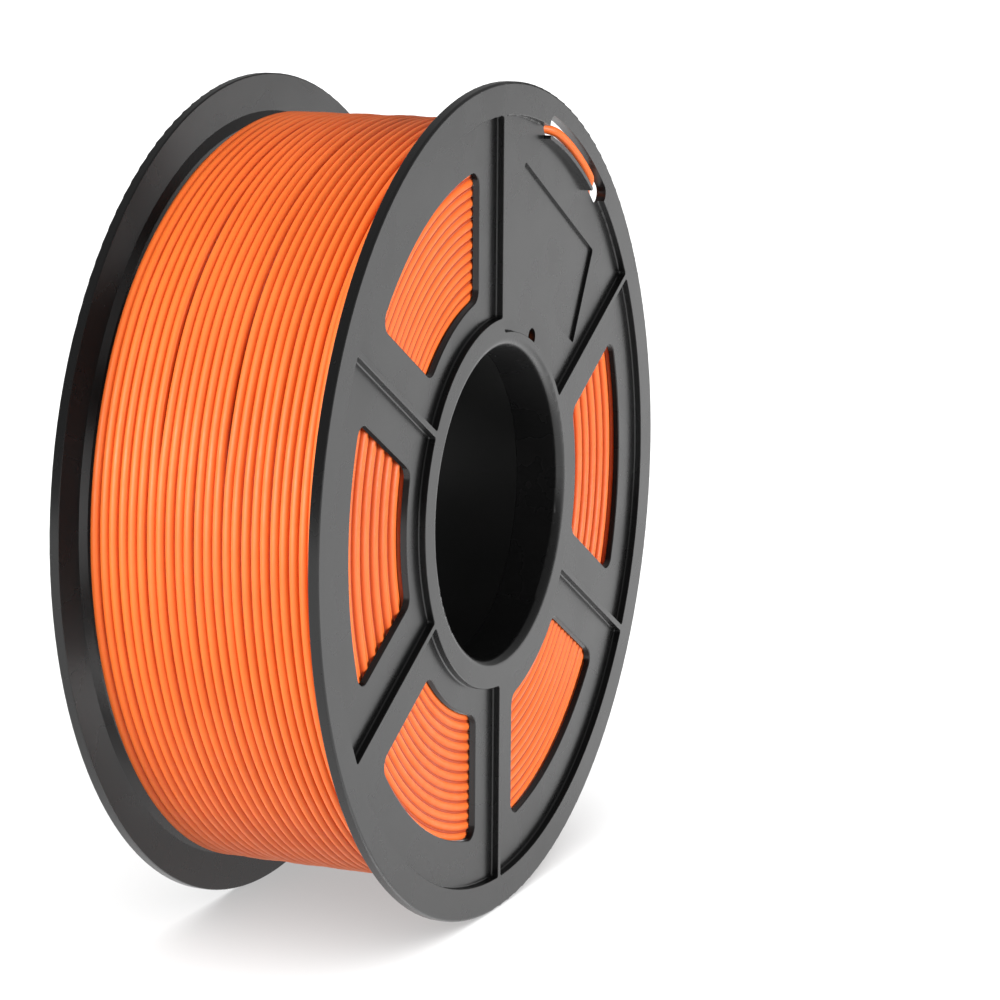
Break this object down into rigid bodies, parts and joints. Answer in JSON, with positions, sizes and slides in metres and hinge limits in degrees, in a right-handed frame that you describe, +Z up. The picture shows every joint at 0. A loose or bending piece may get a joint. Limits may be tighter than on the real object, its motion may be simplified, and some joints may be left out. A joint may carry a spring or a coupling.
{
  "type": "filament spool",
  "caption": "Full filament spool: two flanges with radial ribs and sector windows on a hollow hub, wound with plastic filament, free end tucked through a rim slot.",
  "frame": {"origin": "centre of the bore, half-way between the two flanges' outer faces", "axes": "+Y along the bore towards the rear flange, +Z up, +X to the right seen from the front"},
  "size_m": [0.2, 0.066, 0.2],
  "materials": {
    "flange_plastic": "black moulded plastic, satin, grey where it mirrors a pale surrounding",
    "hub_plastic": "black moulded plastic, satin",
    "filament": "orange extruded plastic, soft sheen"
  },
  "bodies": {
    "root": {"front_flange": "flange_plastic", "rear_flange": "flange_plastic", "hub_core": "hub_plastic", "filament_winding": "filament", "filament_tail": "filament", "filament_start": "filament"}
  },
  "joints": []
}
